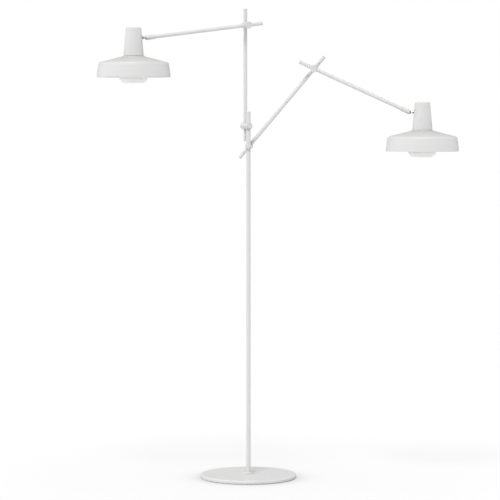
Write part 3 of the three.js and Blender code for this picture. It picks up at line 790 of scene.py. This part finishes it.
def makeHead(side, place):
    body, s, h, g = side + "_head", stemShape, holderShape, ringShape
    w, flangeTop = s["wall"], h["seat"] + h["flangeThick"]
    shell = [(0, s["top"] - w), (s["topRadius"] - w, s["top"] - w, s["edge"] - w),
             (s["bottomRadius"] - w, s["bottom"], 0.4), (s["bottomRadius"], s["bottom"], 0.4),
             (s["topRadius"], s["top"], s["edge"]), (0, s["top"])]
    hole = place @ shiftBy(0, 0, lampSetting["studHeight"]) @ turnAbout("x", -90)
    stem = drilled(turnedPiece(side + "Stem", shell, s["sides"], place), s["hole"], hole, 0,
                   s["bottomRadius"] + s["holeReach"])
    fitted(stem, side + "_head_stem", body, "head_paint")
    piece = turnedPiece(side + "Shade", shadeOutline(), shadeShape["sides"], place, True)
    fitted(piece, side + "_head_shade", body, "head_paint")
    bowl = diffuserShape["outer"] + diffuserShape["inner"]
    piece = turnedPiece(side + "Diffuser", bowl, diffuserShape["sides"], place)
    fitted(piece, side + "_head_diffuser", body, "opal_glass")
    holder = [(0, h["boreTop"]), (h["bore"], h["boreTop"], 0), (h["bore"], h["bottom"], 0.5),
              (h["radius"], h["bottom"], 0.8), (h["radius"], h["seat"], 0.3), (h["flange"], h["seat"], 0.4),
              (h["flange"], flangeTop, 0.6), (h["radius"], flangeTop, 0.6),
              (h["radius"], h["top"] - h["crown"], 2), (h["radius"] - h["crownIn"], h["top"], 1.5), (0, h["top"])]
    piece = turnedPiece(side + "LampHolder", holder, h["sides"], place)
    fitted(piece, side + "_head_lamp_holder", body, "holder_ceramic")
    ring = [(g["bore"], g["bottom"], 0.4), (g["radius"], g["bottom"], 0.9), (g["radius"], g["top"], 0.9),
            (g["bore"], g["top"], 0.4)]
    piece = turnedPiece(side + "ShadeRing", ring, g["sides"], place, True)
    fitted(piece, side + "_head_shade_ring", body, "plastic")
    piece = turnedPiece(side + "Bulb", bulbOutline(), bulbShape["sides"], place)
    fitted(piece, side + "_head_bulb", body, "bulb_glass")


makeStand()
print("stand made")
for side in ("left", "right"):
    places = branchPlaces(side)
    lower, upper = side + "_lower", side + "_upper"
    # the lower clamp's cradle bush stays in the cradle; the upper one rolls with the arm
    makeClamp(lower, clampBodies(lower, "_cradle"), places["lower"], places["rod"], postShape["radius"])
    makeRod(side, places["rod"])
    makeClamp(upper, clampBodies(upper, "_roller"), places["upper"], places["arm"], tubeShape["radius"])
    makeArm(side, places["arm"])
    makeBall(side, places["stud"])
    makeHead(side, places["head"])
    print(side, "branch made")

# studio
studio = {
    "floor": {"radius": 60, "sides": 96, "tone": (0.85, 0.85, 0.85, 1), "seen": 0.42, "glow": 0.573,
              "farGlow": 0.035, "farFrom": 0.35, "farFull": 1.1},
    "contact": {"radius": 0.1525, "depth": 0.21, "reach": 0.026},  # metres; the soft shade round the base
    "ambient": 0.47, "seenWhite": 1.0,
    "suns": {"key": {"from": (-0.14, -0.57, 1.02), "softness": 22, "strength": 2.0},
             "leftRim": {"from": (-1.0, 0.12, 0.06), "softness": 70, "strength": 0.97},
             "rightRim": {"from": (1.0, 0.20, 0.06), "softness": 70, "strength": 0.58}},
    "contrast": ((0.3, 0.2), (0.5, 0.43), (0.62, 0.595), (0.7, 0.69)),
    "camera": {"at": (0.005, -7.59, 1.19), "pitchDown": 3.491, "lens": 172.55, "sensor": 36, "farthest": 100},
}


def makeFloor():
    # a flat disc round the lamp's foot: x = r cos a, y = r sin a
    f, near = studio["floor"], studio["contact"]
    a = np.linspace(0, 2 * math.pi, f["sides"], endpoint=False)
    rim = np.stack([np.cos(a), np.sin(a), np.zeros(f["sides"])], -1) * f["radius"]
    mesh = bpy.data.meshes.new("floor")
    mesh.from_pydata(rim.tolist(), [], [list(range(f["sides"]))])
    floor = bpy.data.objects.new("floor", mesh)
    bpy.context.scene.collection.objects.link(floor)
    material, w, shader = startMaterial("floor", {"Specular IOR Level": 0.1, "Emission Color": (1, 1, 1, 1)})
    tone = useGroup(w, "coatTone", tone=f["tone"], spread=0.01, peel_scale=300.0)
    # the shade close to the foot dies away with distance
    away = w.node("VectorMath", operation="LENGTH")
    w.join(w.place(), away.inputs[0])
    beyond = w.maths("MAXIMUM", w.maths("SUBTRACT", away.outputs["Value"], near["radius"]), 0.0)
    fading = w.maths("EXPONENT", w.maths("MULTIPLY", beyond, -1 / near["reach"]))
    lit = w.maths("SUBTRACT", 1.0, w.maths("MULTIPLY", fading, near["depth"]))
    # to the camera the floor is partly its own light, so that cast shadows stay faint on it; that glow
    # rises farther off until the floor is as white as what is behind it
    seen = w.node("LightPath").outputs["Is Camera Ray"]
    kept = w.maths("MULTIPLY", lit, w.ranged(seen, 0.0, 1.0, 1.0, f["seen"]))
    w.join(w.mixed(kept, (0, 0, 0, 1), tone.outputs["Colour"]), shader.inputs["Base Color"])
    w.join(w.ranged(w.noise(30.0), 0.3, 0.7, 0.85, 0.95), shader.inputs["Roughness"])
    rise = w.ranged(away.outputs["Value"], f["farFrom"], f["farFull"], 0.0, f["farGlow"])
    glow = w.maths("MULTIPLY", w.maths("ADD", f["glow"], rise), lit)
    w.join(w.maths("MULTIPLY", seen, glow), shader.inputs["Emission Strength"])
    mesh.materials.append(material)


def makeLight(name, light):
    # parallel light from a broad round patch of sky, its -Z along the way the light goes
    lamp = bpy.data.lights.new(name, "SUN")
    lamp.energy, lamp.angle = light["strength"], math.radians(light["softness"])
    holder = bpy.data.objects.new(name, lamp)
    holder.rotation_euler = Vector(light["from"]).to_track_quat("Z", "Y").to_euler()
    bpy.context.scene.collection.objects.link(holder)


def makeWorld():
    # what the lamp is lit by is greyer than the white that shows behind it
    world = bpy.data.worlds.new("studio")
    world.use_nodes = True
    w = Wiring(world.node_tree)
    sky = world.node_tree.nodes["Background"]
    sky.inputs["Color"].default_value = (1, 1, 1, 1)
    seen = w.node("LightPath").outputs["Is Camera Ray"]
    w.join(w.ranged(seen, 0.0, 1.0, studio["ambient"], studio["seenWhite"]), sky.inputs["Strength"])
    bpy.context.scene.world = world


def makeCamera():
    c = studio["camera"]
    lens = bpy.data.cameras.new("view")
    lens.lens, lens.sensor_width, lens.clip_end = c["lens"], c["sensor"], c["farthest"]
    camera = bpy.data.objects.new("view", lens)
    camera.location = c["at"]
    camera.rotation_euler = (math.radians(90 - c["pitchDown"]), 0, 0)
    bpy.context.scene.collection.objects.link(camera)
    bpy.context.scene.camera = camera


makeFloor()
for name, light in studio["suns"].items():
    makeLight(name, light)
makeWorld()
makeCamera()
shown = bpy.context.scene.view_settings
shown.view_transform, shown.look, shown.use_curve_mapping = "Standard", "None", True
combined = shown.curve_mapping.curves[3]
for at, level in studio["contrast"]:
    combined.points.new(at, level)
shown.curve_mapping.update()
print("studio set")
